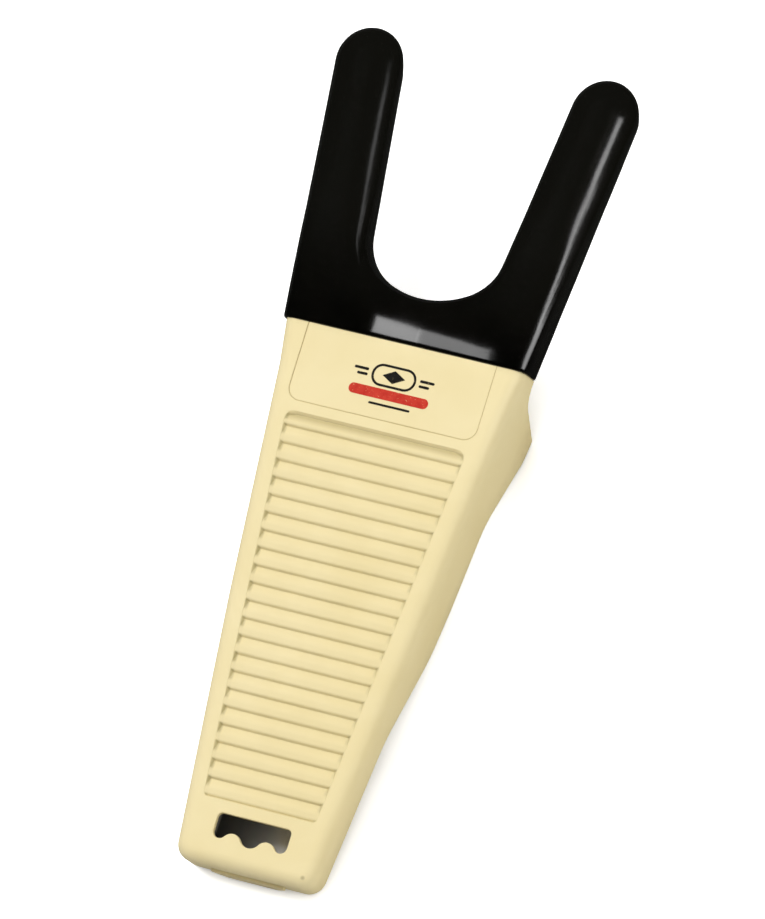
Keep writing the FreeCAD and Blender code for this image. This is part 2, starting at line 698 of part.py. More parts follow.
# --------------------------------------------------------------------------
# hollow of the body; what is cut from this block stays solid in the body
# --------------------------------------------------------------------------
def build_hollow():
    body = new_body("hollow_blank")
    under_deck = -dim.deck_thick
    front_half = (dim.shoulder_half + (dim.neck_half - dim.shoulder_half)
                  * (dim.hollow_front - dim.shoulder_fwd)
                  / (dim.neck_end - dim.shoulder_fwd))
    plan = polygon_sketch(body, "hollow_plan", "XY_Plane", mirrored([
        (dim.tail_half - dim.wall, -dim.tail_end + dim.wall),
        (dim.waist_half - dim.wall, -dim.waist_back),
        (dim.shoulder_half - dim.wall, dim.shoulder_fwd),
        (front_half - dim.wall, dim.hollow_front),
    ]), lift=under_deck)
    pad(body, "hollow_height", plan, dim.hollow_tall, down=True)
    corner_limit = float(-dim.tail_end + dim.wall + 1)
    fillet(body, "hollow_tail_corners",
           lambda start, end, mid: upright(start, end) and mid.y < corner_limit,
           dim.tail_corner - dim.wall)

    # front end of the hollow: behind the leg's foot and under the throat, (y, z)
    front_line = polygon_sketch(body, "hollow_front_line", "YZ_Plane", [
        (dim.foot_back - 0.4, BELOW),
        (dim.foot_back - 0.4, -28.0),
        (dim.foot_back + 5, -22.0),
        (dim.hollow_front, -9.0),
        (dim.hollow_front + 12, -9.0),
        (dim.hollow_front + 12, BELOW),
    ])
    pocket(body, "hollow_front_cut", front_line, both=True)

    # solid block inside the tail face that carries the tail foot
    block_plan = polygon_sketch(body, "tail_block_plan", "XY_Plane", mirrored([
        (dim.tab_half, -dim.tail_end - 2),
        (dim.tab_half, -dim.tail_end - dim.tab_proud + dim.tab_long),
    ]))
    pocket(body, "tail_block", block_plan)

    rib_plan = polygon_sketch(body, "cross_rib_plan", "XY_Plane", mirrored([
        (CROSS_RIB_HALF, dim.rib_first),
        (CROSS_RIB_HALF, dim.rib_first - dim.rib_thick),
    ]), lift=under_deck)
    rib = pocket(body, "cross_rib", rib_plan, dim.rib_drop)
    row_of(body, "cross_ribs", rib, rib_plan, "V_Axis", dim.rib_pitch, dim.rib_count)

    rail_plan = new_sketch(body, "long_rib_plan", "XY_Plane", lift=under_deck)
    for side in (1, -1):
        near = side * dim.rail_off
        far = side * (dim.rail_off + dim.rib_thick)
        add_polygon(rail_plan, [
            (near, LONG_RIB_REAR),
            (far, LONG_RIB_REAR),
            (far, LONG_RIB_FRONT),
            (near, LONG_RIB_FRONT),
        ])
    pocket(body, "long_ribs", rail_plan, dim.rib_drop)
    return body


# --------------------------------------------------------------------------
# tread cutter: a row of furrows inside a rounded outline
# --------------------------------------------------------------------------
# (fraction of the pitch towards the rear, depth: 0 at the crest, 1 at the furrow)
TOOTH_PROFILE = [
    (0.0, 1.0), (0.04, 0.98), (0.12, 0.82), (0.34, 0.27), (0.46, 0.07), (0.56, 0.0),
    (0.78, 0.0), (0.84, 0.07), (0.895, 0.26), (0.935, 0.56), (0.965, 0.86), (1.0, 1.0),
]
# the front rib shares the tooth's rear flank, from this point of the profile on
FLANK_START = 6
# (fraction of the front rib's rise towards the rear, depth as above)
FRONT_PROFILE = [(0.0, 1.0), (0.3, 0.72), (0.6, 0.34), (0.85, 0.08), (1.0, 0.0)]


def tooth_z(depth):
    return -dim.tooth_crest - depth * (dim.tooth_depth - dim.tooth_crest)


def build_teeth():
    body = new_body("tread_teeth")
    points = [(dim.tooth_first - u * dim.tooth_pitch, tooth_z(depth))
              for u, depth in TOOTH_PROFILE]
    points += [(dim.tooth_first - dim.tooth_pitch, TOOTH_TOP), (dim.tooth_first, TOOTH_TOP)]
    profile = polygon_sketch(body, "tooth_profile", "YZ_Plane", points)
    tooth = pad(body, "tooth", profile, dim.tooth_span, both=True)
    row_of(body, "tooth_row", tooth, profile, "H_Axis", dim.tooth_pitch, dim.tooth_count)

    # the narrower rib at the front edge, behind a flat furrow
    front_y = dim.tread_top + dim.front_over
    points = [(front_y, tooth_z(1.0))]
    points += [(dim.front_floor - u * dim.front_rise, tooth_z(depth))
               for u, depth in FRONT_PROFILE]
    points += [(dim.tooth_first + dim.tooth_pitch - u * dim.tooth_pitch, tooth_z(depth))
               for u, depth in TOOTH_PROFILE[FLANK_START:]]
    points += [(dim.tooth_first, TOOTH_TOP), (front_y, TOOTH_TOP)]
    profile = polygon_sketch(body, "front_profile", "YZ_Plane", points)
    pad(body, "front_tooth", profile, dim.tooth_span, both=True)
    return body


def build_tread_outline():
    """block with sloping walls; its plan has the tread's size at deck level"""
    body = new_body("tread_outline")
    grow = dim.tread_over * tangent(dim.tread_draft)
    plan = polygon_sketch(body, "tread_plan", "XY_Plane", mirrored([
        (dim.tread_end_half + grow, -dim.tread_end - grow),
        (dim.tread_top_half + grow, dim.tread_top + grow),
    ]), lift=dim.tread_over)
    block = pad(body, "tread_block", plan, dim.tread_tall, down=True)
    drive(block, "TaperAngle", -dim.tread_draft)
    doc.recompute()
    fillet(body, "tread_top_corners",
           lambda start, end, mid: rises(start, end) and mid.y > 0,
           dim.tread_top_round)
    fillet(body, "tread_end_corners",
           lambda start, end, mid: rises(start, end) and mid.y < 0,
           dim.tread_end_round)
    return body


def build_tread_cutter():
    teeth = build_teeth()
    outline = build_tread_outline()
    cutter = doc.addObject("Part::Common", "tread_cutter")
    cutter.Base = teeth
    cutter.Tool = outline
    doc.recompute()
    return cutter


# --------------------------------------------------------------------------
# smaller pieces
# --------------------------------------------------------------------------
def build_relief():
    """cutter under the hanging slot, so that its rim is thin"""
    body = new_body("slot_relief")
    plan = polygon_sketch(body, "relief_plan", "XY_Plane", mirrored([
        (dim.relief_half, -dim.relief_back),
        (dim.relief_half, -dim.relief_front),
    ]), lift=-dim.slot_rim)
    pad(body, "relief_block", plan, dim.deck_thick - dim.slot_rim + dim.relief_over, down=True)
    fillet(body, "relief_corners", lambda start, end, mid: upright(start, end),
           dim.relief_corner)
    return body


def build_panel():
    body = new_body("label_panel")
    front_y = dim.neck_end - dim.panel_front_gap
    plan = polygon_sketch(body, "panel_plan", "XY_Plane", mirrored([
        (dim.panel_half, dim.panel_end),
        (dim.panel_half, front_y),
    ]))
    pad(body, "panel_sheet", plan, dim.panel_thick, down=True)
    corner_limit = float(dim.panel_end + 1)
    fillet(body, "panel_corners",
           lambda start, end, mid: upright(start, end) and mid.y < corner_limit,
           dim.panel_round)
    # upper edge, except along the front
    fillet(body, "panel_edge",
           lambda start, end, mid: at_z(0, start, end, mid) and not at_y(front_y, start, end),
           dim.panel_soft)
    return body


def build_rubber_pad(name, centre_x, centre_y, length, width):
    """pad lying level on the floor, length across the jack"""
    body = new_body(name, on_deck=False)
    corners = ((-1, -1), (1, -1), (1, 1), (-1, 1))
    plan = polygon_sketch(body, name + "_plan", "XY_Plane", [
        (centre_x + side * length / 2, centre_y + end * width / 2) for side, end in corners])
    pad(body, name + "_sheet", plan, dim.pad_thick)
    fillet(body, name + "_corners", lambda start, end, mid: upright(start, end),
           dim.pad_round)
    fillet(body, name + "_rim", lambda start, end, mid: at_z(0, start, end, mid),
           dim.pad_rim)
    return body


# --------------------------------------------------------------------------
# assembly
# --------------------------------------------------------------------------
blank = build_blank()
core = build_fork("fork_core", top=dim.cover_proud - dim.cover_wall,
                  depth=dim.cover_depth - dim.cover_wall,
                  inset=dim.cover_wall, edge_round=dim.core_edge)
cover_outer = build_cover_outer()
hollow = build_hollow()
tread = build_tread_cutter()
relief = build_relief()
panel = build_panel()
rubber_pads = [
    build_rubber_pad("leg_pad_left", -dim.pad_off, dim.pad_y, dim.pad_long, dim.pad_wide),
    build_rubber_pad("leg_pad_right", dim.pad_off, dim.pad_y, dim.pad_long, dim.pad_wide),
    build_rubber_pad("tail_pad", 0, -dim.tail_pad_y, dim.tail_pad_long, dim.tail_pad_wide),
]

whole = doc.addObject("Part::Fuse", "shell_and_core")
whole.Base = blank
whole.Tool = core
whole.Refine = True
doc.recompute()
removed = doc.addObject("Part::MultiFuse", "removed")
removed.Shapes = [hollow, tread, relief] + rubber_pads
doc.recompute()
shell = doc.addObject("Part::Cut", "body_shell")
shell.Base = whole
shell.Tool = removed
doc.recompute()

cover = doc.addObject("Part::Cut", "fork_cover")
cover.Base = cover_outer
cover.Tool = core
doc.recompute()

# --------------------------------------------------------------------------
# checks and export
# --------------------------------------------------------------------------
for item in doc.Objects:
    if "Invalid" in item.State or "Error" in item.State:
        raise RuntimeError("object %s is %s" % (item.Name, item.State))

pieces = [shell, cover, panel] + rubber_pads
for piece in pieces:
    if piece.Shape.isNull() or not piece.Shape.isValid():
        raise RuntimeError("bad shape: " + piece.Label)
    if len(piece.Shape.Solids) != 1:
        raise RuntimeError("%s is not one solid" % piece.Label)

os.makedirs("parts", exist_ok=True)
for piece in pieces:
    piece.Shape.exportStep("parts/%s.step" % piece.Label)
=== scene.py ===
"""A cream plastic deck whose front splits into a two-pronged fork covered in black vinyl.

World: metres, +X right, +Y roughly along the deck towards the fork, +Z up; the deck rises
towards the fork. Most places are given in the deck frame, in mm: x across, v along the
deck towards the fork, w off the deck.
"""

import math

import bmesh
import bpy
from mathutils import Matrix, Vector, noise
from mathutils.bvhtree import BVHTree


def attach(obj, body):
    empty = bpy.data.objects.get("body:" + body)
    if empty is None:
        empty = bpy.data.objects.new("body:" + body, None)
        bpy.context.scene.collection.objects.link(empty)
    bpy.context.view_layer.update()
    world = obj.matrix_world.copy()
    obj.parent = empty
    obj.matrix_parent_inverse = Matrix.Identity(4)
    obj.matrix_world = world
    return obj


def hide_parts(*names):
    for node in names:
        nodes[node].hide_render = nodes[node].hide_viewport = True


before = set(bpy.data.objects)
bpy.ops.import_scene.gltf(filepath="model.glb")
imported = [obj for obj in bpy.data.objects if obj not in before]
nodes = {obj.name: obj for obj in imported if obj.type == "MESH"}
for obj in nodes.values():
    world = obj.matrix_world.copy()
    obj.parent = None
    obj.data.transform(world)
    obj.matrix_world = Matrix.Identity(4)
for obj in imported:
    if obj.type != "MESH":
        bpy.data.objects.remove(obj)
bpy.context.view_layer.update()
scene = bpy.context.scene
scene.view_settings.view_transform = "Standard"
scene.view_settings.look = "None"

# --------------------------------------------------------------------------
# deck frame
# --------------------------------------------------------------------------
MM = 1000.0                  # mm in a metre
TILT = math.radians(6.23)
DECK_Y, DECK_Z = -14.893, 33.112     # deck origin in the world, mm
COS_TILT, SIN_TILT = math.cos(TILT), math.sin(TILT)


def deck_dir(x, v, w):
    return Vector((x, v * COS_TILT - w * SIN_TILT, v * SIN_TILT + w * COS_TILT))


def deck_point(x, v, w):
    turned = deck_dir(x, v, w)
    return Vector((turned.x, turned.y + DECK_Y, turned.z + DECK_Z)) / MM


def untilt(x, y, z):
    return Vector((x, y * COS_TILT + z * SIN_TILT, -y * SIN_TILT + z * COS_TILT))


def to_deck(point):
    return untilt(point.x * MM, point.y * MM - DECK_Y, point.z * MM - DECK_Z)


def srgb(*channels):
    """0-255 sRGB to linear RGBA"""
    unit = [c / 255.0 for c in channels]
    return (*(c / 12.92 if c <= 0.04045 else ((c + 0.055) / 1.055) ** 2.4 for c in unit), 1.0)


def smooth(t):
    t = max(0.0, min(1.0, t))
    return t * t * (3 - 2 * t)


# camera axes; the mirrored lights and one speck of dirt need them too
VIEW_RIGHT = deck_dir(0.904, 0.291, -0.312).normalized()
VIEW_UP = deck_dir(-0.2185, 0.944, 0.247)
VIEW_UP = (VIEW_UP - VIEW_RIGHT * VIEW_UP.dot(VIEW_RIGHT)).normalized()
TO_CAMERA = VIEW_RIGHT.cross(VIEW_UP).normalized()
AIM = deck_point(5.88, 15.89, 0.0)


# --------------------------------------------------------------------------
# shader graphs
# --------------------------------------------------------------------------
class Shader:
    """node tree of a material or world: one surface node, and helpers that feed it"""

    def __init__(self, owner, output="ShaderNodeOutputMaterial",
                 surface="ShaderNodeBsdfPrincipled", coord="Object"):
        owner.use_nodes = True
        self.owner = owner
        self.tree = owner.node_tree
        self.tree.nodes.clear()
        end = self.node(output)
        self.surface = self.node(surface)
        self.put(end.inputs[0], self.surface.outputs[0])
        self.coord = self.node("ShaderNodeTexCoord").outputs[coord]

    def put(self, socket, value):
        """link a socket, or set its value"""
        if isinstance(value, bpy.types.NodeSocket):
            self.tree.links.new(value, socket)
        else:
            socket.default_value = value

    def node(self, kind, inputs=None, **props):
        node = self.tree.nodes.new(kind)
        for key, value in props.items():
            setattr(node, key, value)
        for key, value in (inputs or {}).items():
            self.put(node.inputs[key], value)
        return node

    def shade(self, **inputs):
        for key, value in inputs.items():
            self.put(self.surface.inputs[key.replace("_", " ")], value)

    def noise(self, scale, detail=2.0, rough=0.5, warp=0.0, coord=None):
        return self.node("ShaderNodeTexNoise", {
            "Scale": scale, "Detail": detail, "Roughness": rough, "Distortion": warp,
            "Vector": coord or self.coord}).outputs["Fac"]

    def axes(self):
        return self.node("ShaderNodeSeparateXYZ", {0: self.coord}).outputs

    def remap(self, value, span, to=(0.0, 1.0)):
        return self.node("ShaderNodeMapRange", {
            "From Min": span[0], "From Max": span[1],
            "To Min": to[0], "To Max": to[1], "Value": value}).outputs["Result"]

    def calc(self, operation, first, second=0.0, third=None):
        inputs = {0: first, 1: second}
        if third is not None:
            inputs[2] = third
        return self.node("ShaderNodeMath", inputs, operation=operation).outputs[0]

    def product(self, first, *others):
        for other in others:
            first = self.calc("MULTIPLY", first, other)
        return first

    def mix(self, amount, first, second, blend="MIX"):
        return self.node("ShaderNodeMix", {0: amount, 6: first, 7: second},
                         data_type="RGBA", blend_type=blend).outputs[2]

    def bump(self, height, strength, distance, normal=None):
        inputs = {"Strength": strength, "Distance": distance, "Height": height}
        if normal is not None:
            inputs["Normal"] = normal
        return self.node("ShaderNodeBump", inputs).outputs["Normal"]

    def bevel(self, radius):
        return self.node("ShaderNodeBevel", {"Radius": radius}, samples=4).outputs["Normal"]

    def occlusion(self, distance, samples=8):
        return self.node("ShaderNodeAmbientOcclusion", {"Distance": distance},
                         samples=samples, only_local=False).outputs["AO"]

    def hairlines(self, *families):
        """fine scratches; each family is (noise scale per axis, turn about Z, span)"""
        masks = []
        for scale, turn, span in families:
            stretched = self.node("ShaderNodeMapping", {
                "Scale": scale, "Rotation": (0, 0, turn), "Vector": self.coord})
            streaks = self.noise(scale=1.0, coord=stretched.outputs["Vector"])
            masks.append(self.remap(streaks, span=span))
        return self.calc("MAXIMUM", *masks)


def new_material(name):
    return Shader(bpy.data.materials.new(name))


# --------------------------------------------------------------------------
# cream plastic
# --------------------------------------------------------------------------
# the tread is a recess that widens towards the fork; x, v and w spans below are in mm
TREAD_V = 26.1            # where its half width is TREAD_HALF
TREAD_HALF = 37.2
TREAD_FLARE = 0.09569     # gain in half width per mm of v


def tread_shade_and_tone(m, color, position):
    """painted shade at the ends of the steps, a duller tread, and a painted shadow in a band
    against its front wall
    """
    y = m.calc("MULTIPLY_ADD", position["Y"], MM, -DECK_Y)
    z = m.calc("MULTIPLY_ADD", position["Z"], MM, -DECK_Z)
    v = m.calc("ADD", m.calc("MULTIPLY", y, COS_TILT), m.calc("MULTIPLY", z, SIN_TILT))
    w = m.calc("SUBTRACT", m.calc("MULTIPLY", z, COS_TILT), m.calc("MULTIPLY", y, SIN_TILT))
    flare = m.calc("MULTIPLY", m.calc("SUBTRACT", v, TREAD_V), TREAD_FLARE)
    half = m.calc("ADD", flare, TREAD_HALF)
    x = m.calc("MULTIPLY", position["X"], MM)

    def inset():
        """distance in from the nearer side of the tread"""
        return m.calc("SUBTRACT", half, m.calc("ABSOLUTE", x))

    # painted shade at the ends of the steps, mostly on the left (side 1)
    below = m.product(m.remap(w, span=(-0.08, -0.42)),
                      m.remap(w, span=(-1.6, -1.9), to=(1.0, 0.0)),
                      m.remap(v, span=(-123.4, -122.6)))
    for side, amount in ((1.0, 0.62), (-1.0, 0.22)):
        from_end = m.calc("ADD", half, m.calc("MULTIPLY", x, side))
        end_shade = m.product(m.remap(from_end, span=(0.9, 1.9), to=(amount, 0.0)),
                           m.remap(from_end, span=(-0.3, 0.0)),
                           below,
                           m.remap(m.noise(scale=260.0), span=(0.35, 0.65), to=(0.6, 1.0)))
        color = m.mix(end_shade, color, srgb(140, 130, 76))

    # the tread as a whole is a shade duller than the deck round it
    patches = m.noise(scale=60.0, detail=3.0, rough=0.6)
    dull = m.product(m.remap(inset(), span=(0.0, 1.2)),
                     m.remap(v, span=(-122.3, -121.0)),
                     m.remap(v, span=(26.0, 25.0), to=(0.0, 0.085)),
                     m.remap(w, span=(-2.2, -1.9)),
                     m.remap(patches, span=(0.3, 0.7), to=(0.6, 1.3)))
    color = m.mix(dull, color, srgb(176, 158, 100))

    # painted shadow: a soft dark band against the front wall
    band = m.product(m.remap(v, span=(25.4, 24.6)),
                     m.remap(v, span=(24.3, 21.9), to=(0.42, 0.0)),
                     m.remap(w, span=(-0.05, -0.20)),
                     m.remap(inset(), span=(0.0, 1.0)))
    return m.mix(band, color, srgb(150, 134, 80))


def tail_speck(m, color):
    """one small brown speck on the tail, right of the middle"""
    squares = []
    for axis, offset in ((VIEW_RIGHT, -29.4), (VIEW_UP, -153.8)):     # mm from AIM
        dot = m.node("ShaderNodeVectorMath", {0: m.coord, 1: axis}, operation="DOT_PRODUCT")
        away = m.calc("SUBTRACT", m.calc("MULTIPLY", dot.outputs["Value"], MM),
                      AIM.dot(axis) * MM + offset)
        squares.append(m.calc("MULTIPLY", away, away))
    distance = m.calc("SQRT", m.calc("ADD", *squares))
    amount = m.remap(distance, span=(0.30, 1.05), to=(0.40, 0.0))
    return m.mix(amount, color, srgb(122, 106, 50))


def cream_plastic(name, base, deep, rough, edge_radius, grain):
    """satin moulded plastic: faint flow mottling, a fine moulded grain, painted shade in the
    corners and on the tread, darker lower edges and a few hairline scuffs"""
    m = new_material(name)
    flow = m.noise(scale=26.0, detail=3.0, rough=0.55, warp=0.6)
    fine = m.noise(scale=320.0, rough=0.6)
    color = m.mix(m.remap(flow, span=(0.36, 0.66)), base, deep)
    color = m.mix(m.remap(fine, span=(0.30, 0.72), to=(0.0, 0.12)), color, deep)
    # painted shade: darker in inner corners, from ambient occlusion
    corners = m.remap(m.occlusion(distance=0.0028), span=(0.35, 0.92), to=(0.30, 0.0))
    color = m.mix(corners, color, srgb(150, 142, 90))
    # darker towards the bottom edges, in patches
    position = m.axes()
    patches = m.noise(scale=110.0, detail=3.0, rough=0.6)
    low_darkening = m.product(m.remap(position["Z"], span=(0.0, 0.012), to=(0.30, 0.0)),
                      m.remap(patches, span=(0.38, 0.66), to=(0.2, 1.0)))
    color = m.mix(low_darkening, color, srgb(150, 122, 74))
    color = tread_shade_and_tone(m, color, position)
    color = tail_speck(m, color)

    # hairline scuffs in two directions, in patches
    scuff = m.hairlines(((60, 1100, 60), 0.5, (0.70, 0.78)),
                        ((900, 50, 60), -0.35, (0.71, 0.80)))
    scuff = m.product(scuff, m.remap(m.noise(scale=14.0), span=(0.5, 0.66)))
    sheen = m.remap(m.noise(scale=70.0, detail=3.0, rough=0.6),
                    span=(0.3, 0.7), to=(rough - 0.05, rough + 0.06))
    normal = m.bevel(edge_radius)
    normal = m.bump(m.noise(scale=38.0), strength=0.10, distance=0.0012, normal=normal)
    normal = m.bump(m.noise(scale=1500.0, rough=0.6),
                    strength=grain, distance=0.00006, normal=normal)
    normal = m.bump(scuff, strength=-0.12, distance=0.00008, normal=normal)
    m.shade(Base_Color=color, Specular_IOR_Level=0.42, Normal=normal,
            Roughness=m.calc("ADD", sheen, m.calc("MULTIPLY", scuff, 0.12)))
    return m.owner


# --------------------------------------------------------------------------
# the other materials
# --------------------------------------------------------------------------
def black_vinyl(name):
    """thick dipped vinyl: near-black, glossy, slightly wavy, with fine dust and
    handling marks"""
    m = new_material(name)
    cloud = m.noise(scale=40.0, detail=3.0, rough=0.55, warp=0.4)
    # a little lighter towards the prongs
    color = m.mix(m.remap(m.axes()["Y"], span=(0.050, 0.090)), srgb(2, 2, 1), srgb(15, 15, 12))
    color = m.mix(m.remap(cloud, span=(0.35, 0.68), to=(0.0, 0.45)), color, srgb(14, 13, 10))
    dust = m.remap(m.noise(scale=1300.0, detail=1.0, rough=0.4),
                   span=(0.725, 0.77), to=(0.0, 0.10))
    color = m.mix(dust, color, srgb(92, 90, 82))
    marks = m.hairlines(((70, 900, 70), 0.3, (0.68, 0.78)),
                        ((800, 60, 60), 0.15, (0.70, 0.80)))
    sheen = m.remap(m.noise(scale=90.0, detail=3.0, rough=0.6),
                    span=(0.3, 0.7), to=(0.15, 0.19))
    normal = m.bump(m.noise(scale=55.0), strength=0.10, distance=0.0010)
    normal = m.bump(m.noise(scale=420.0), strength=0.10, distance=0.00012, normal=normal)
    normal = m.bump(marks, strength=-0.06, distance=0.00004, normal=normal)
    m.shade(Base_Color=color, Specular_IOR_Level=0.5, Normal=normal,
            Roughness=m.calc("ADD", sheen, m.calc("MULTIPLY", marks, 0.10)))
    return m.owner


def grey_rubber(name):
    """matt rubber with dust in its corners"""
    m = new_material(name)
    cloud = m.noise(scale=180.0, detail=3.0, rough=0.6)
    color = m.mix(m.remap(cloud, span=(0.35, 0.7)), srgb(44, 43, 41), srgb(60, 58, 54))
    dust = m.remap(m.occlusion(distance=0.0015), span=(0.3, 0.9), to=(0.45, 0.0))
    color = m.mix(dust, color, srgb(110, 104, 90))
    normal = m.bump(m.noise(scale=2200.0, rough=0.6),
                    strength=0.35, distance=0.00008, normal=m.bevel(0.0002))
    m.shade(Base_Color=color, Specular_IOR_Level=0.3, Normal=normal,
            Roughness=m.remap(m.noise(scale=260.0), span=(0.3, 0.7), to=(0.68, 0.86)))
    return m.owner


def printed_ink(name, dark, light, worn):
    """screen-printed ink: a little uneven, with worn pinholes showing the plastic"""
    m = new_material(name)
    cloud = m.noise(scale=420.0, detail=3.0, rough=0.6)
    color = m.mix(m.remap(cloud, span=(0.35, 0.7)), dark, light)
    wear = m.remap(m.noise(scale=1500.0, rough=0.6), span=(0.66, 0.74), to=(0.0, worn))
    color = m.mix(wear, color, srgb(232, 214, 164))
    m.shade(Base_Color=color,
            Roughness=m.remap(m.noise(scale=600.0), span=(0.3, 0.7), to=(0.38, 0.55)),
            Normal=m.bump(m.noise(scale=1900.0), strength=0.25, distance=0.00004))
    return m.owner


def assign(obj, material):
    obj.data.materials.clear()
    obj.data.materials.append(material)


CREAM = cream_plastic("cream_plastic", base=srgb(246, 231, 184), deep=srgb(242, 226, 176),
                      rough=0.44, edge_radius=0.00035, grain=0.20)
PANEL = cream_plastic("panel_plastic", base=srgb(245, 230, 183), deep=srgb(241, 225, 175),
                      rough=0.34, edge_radius=0.0002, grain=0.10)
VINYL = black_vinyl("black_vinyl")
PAD = grey_rubber("pad_rubber")
RED = printed_ink("red_ink", dark=srgb(198, 46, 34), light=srgb(214, 66, 48), worn=0.6)
INK = printed_ink("black_ink", dark=srgb(22, 21, 20), light=srgb(38, 36, 34), worn=0.4)

assign(nodes["body_shell"], CREAM)
assign(nodes["label_panel"], PANEL)
for pad in ("leg_pad_left", "leg_pad_right", "tail_pad"):
    assign(nodes[pad], PAD)


def add_object(name, data):
    obj = bpy.data.objects.new(name, data)
    scene.collection.objects.link(obj)
    return obj


def add_mesh(name, bm):
    mesh = bpy.data.meshes.new(name)
    bm.to_mesh(mesh)
    bm.free()
    return add_object(name, mesh)


# --------------------------------------------------------------------------
# dipped vinyl cover of the fork: a fine even mesh laid on the CAD surface, then
# shaped as a soft coat is (slumped rim, slightly uneven skin, drawn-in tips)
# --------------------------------------------------------------------------
NECK_V = 60.0                 # rim of the cover
NECK_HALF = 50.4              # half width over both prongs there
TIP_V, TIP_RADIUS = 162.2, 13.65     # centre and radius of a prong's round tip
SPLAY = math.radians(6.5)
COS_SPLAY, SIN_SPLAY = math.cos(SPLAY), math.sin(SPLAY)
TIP_X = NECK_HALF + (TIP_V - NECK_V) * math.tan(SPLAY) - TIP_RADIUS / COS_SPLAY
COVER_TOP = 1.0
CROWN = 6.4                   # height of the oval top of a prong


def even_mesh(source):
    """the source surface as an even mesh of small faces"""
    mesh = source.data.copy()
    bm = bmesh.new()
    bm.from_mesh(mesh)
    bmesh.ops.remove_doubles(bm, verts=bm.verts, dist=2e-6)
    bm.to_mesh(mesh)
    bm.free()
    work = add_object("vinyl_cover_work", mesh)
    remesh = work.modifiers.new("even", "REMESH")
    remesh.mode = "VOXEL"
    remesh.voxel_size = 0.0008
    relax = work.modifiers.new("relax", "SMOOTH")
    relax.factor = 0.5
    relax.iterations = 3
    lay = work.modifiers.new("lay", "SHRINKWRAP")
    lay.target = source
    lay.wrap_method = "NEAREST_SURFACEPOINT"
    depsgraph = bpy.context.evaluated_depsgraph_get()
    even = bpy.data.meshes.new_from_object(work.evaluated_get(depsgraph))
    bpy.data.objects.remove(work)
    return even


def soft_coat(point, normal, core_gap):
    """where a point of the cover moves to; core_gap is its distance from the core, mm"""
    place = to_deck(point)
    facing = untilt(*normal)
    side = 1.0 if place.x > 0 else -1.0
    v = place.y
    # across and along the prong, from its tip centre
    out, ahead = abs(place.x) - TIP_X, v - TIP_V
    across = out * COS_SPLAY - ahead * SIN_SPLAY
    along = out * SIN_SPLAY + ahead * COS_SPLAY
    reach = min(math.hypot(across, max(along, 0.0)) / TIP_RADIUS, 1.0)
    # 0 where the coat lies on the core, 1 on the outside of its wall
    free = smooth((core_gap - 0.5) / 0.7)
    # crowned prongs: the flat top turns into an oval section towards the tips
    crowning = smooth((v - 76.0) / 50.0) * free
    if crowning > 0 and facing.z > -0.05 and place.z > COVER_TOP - CROWN:
        oval = COVER_TOP - CROWN * (1.0 - math.sqrt(max(0.0, 1.0 - reach * reach)))
        place.z += (min(oval, place.z) - place.z) * crowning
    # uneven skin, on the outside only: broad waves and smaller ones
    skin = (0.07 * noise.noise(place / 19.0)
            + 0.03 * noise.noise((place + Vector((90.0, 0.0, 0.0))) / 9.0))
    if place.z > COVER_TOP - 0.9:
        # slumped a little towards the rim
        skin -= 0.10 * smooth(1.0 - (v - NECK_V) / 6.0)
    place = place + facing * skin * free
    # the tips draw in towards their undersides
    depth = max(0.0, min(1.0, (COVER_TOP - 5.0 - place.z) / 5.5))
    draw = 0.13 * depth * smooth((v - TIP_V + 3.0) / 9.0) * free
    place.x += (side * TIP_X - place.x) * draw
    place.y += (TIP_V - place.y) * draw
    return deck_point(*place)


def vinyl_cover():
    mesh = even_mesh(nodes["fork_cover"])
    mesh.name = "vinyl_cover"
    for polygon in mesh.polygons:
        polygon.use_smooth = True
    normals = [vertex.normal.copy() for vertex in mesh.vertices]
    core = nodes["body_shell"].data
    core_tree = BVHTree.FromPolygons([vertex.co.copy() for vertex in core.vertices],
                                     [tuple(polygon.vertices) for polygon in core.polygons])
    for vertex, normal in zip(mesh.vertices, normals):
        core_gap = core_tree.find_nearest(vertex.co)[3] * MM
        vertex.co = soft_coat(vertex.co, normal, core_gap)
    mesh.update()
    cover = add_object("vinyl_cover", mesh)
    assign(cover, VINYL)
    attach(cover, "root")
    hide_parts("fork_cover")


vinyl_cover()

# --------------------------------------------------------------------------
# thin closed prisms on the panel
# --------------------------------------------------------------------------
PANEL_TOP = max(to_deck(vertex.co).z for vertex in nodes["label_panel"].data.vertices)


def prism(name, loops, material, thick=0.07, bottom=PANEL_TOP + 0.012):
    """flat shape from (x, v) loops: an outline, and maybe a hole of as many points"""
    bm = bmesh.new()
    rings = [[[bm.verts.new(deck_point(x, v, w)) for x, v in loop]
              for w in (bottom, bottom + thick)] for loop in loops]
    low, high = rings[0]
    count = len(low)
    if len(rings) == 1:
        bm.faces.new(high)
        bm.faces.new(low[::-1])
    for i in range(count):
        j = (i + 1) % count
        if len(rings) == 1:
            bm.faces.new((low[i], low[j], high[j], high[i]))
        else:
            hole_low, hole_high = rings[1]
            bm.faces.new((high[i], high[j], hole_high[j], hole_high[i]))
            bm.faces.new((low[j], low[i], hole_low[i], hole_low[j]))
            bm.faces.new((low[i], low[j], high[j], high[i]))
            bm.faces.new((hole_low[j], hole_low[i], hole_high[i], hole_high[j]))
    bmesh.ops.recalc_face_normals(bm, faces=bm.faces)
    obj = add_mesh(name, bm)
    assign(obj, material)
    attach(obj, "root")


def rounded(x, v, half_x, half_v, radius, segments=6):
    """rounded rectangle about (x, v)"""
    points = []
    for side_x, side_v, start in ((1, 1, 0), (-1, 1, 90), (-1, -1, 180), (1, -1, 270)):
        for i in range(segments + 1):
            angle = math.radians(start + 90.0 * i / segments)
            points.append((x + side_x * (half_x - radius) + radius * math.cos(angle),
                           v + side_v * (half_v - radius) + radius * math.sin(angle)))
    return points
